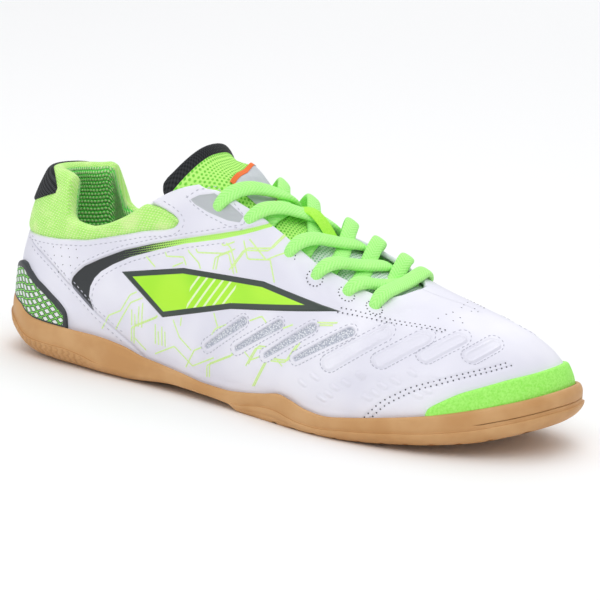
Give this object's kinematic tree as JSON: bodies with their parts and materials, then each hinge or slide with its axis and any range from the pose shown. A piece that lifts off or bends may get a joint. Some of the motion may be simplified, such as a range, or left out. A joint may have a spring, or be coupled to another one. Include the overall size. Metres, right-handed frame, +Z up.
{
  "type": "low-cut football shoe with a flat gum sole",
  "caption": "Low-cut football shoe, right foot: hollow white upper with padded lime collar, laced tongue, toe guard and heel counter on a flat gum rubber cup sole.",
  "frame": {"origin": "middle of the shoe's box, on the floor", "axes": "+X from heel to toe, +Y to the inner side of the foot, +Z up"},
  "size_m": [0.2916, 0.0996, 0.1077],
  "materials": {
    "gum_rubber": "matte gum rubber",
    "grey_foam": "brushed textile over foam",
    "white_hide": "smooth synthetic hide, soft sheen",
    "lime_knit": "fine knit over foam",
    "dark_knit": "coarse knit",
    "dark_film": "moulded film with a printed lattice",
    "lime_foam": "textured soft rubber",
    "white_hide_saddle": "smooth synthetic hide",
    "lime_mesh": "open mesh over foam",
    "grey_film": "plain satin label",
    "keeper_tape": "woven tape",
    "lace_cord": "flat woven lace"
  },
  "bodies": {
    "root": {"outsole": "gum_rubber", "insole": "grey_foam", "upper": "white_hide", "collar_cuff": "lime_knit", "heel_tab": "dark_knit", "heel_counter": "dark_film", "toe_guard": "lime_foam", "saddle_lateral": "white_hide_saddle", "saddle_medial": "white_hide_saddle", "tongue": "lime_mesh", "tongue_label": "grey_film", "lace_keeper": "keeper_tape", "laces": "lace_cord"}
  },
  "joints": []
}
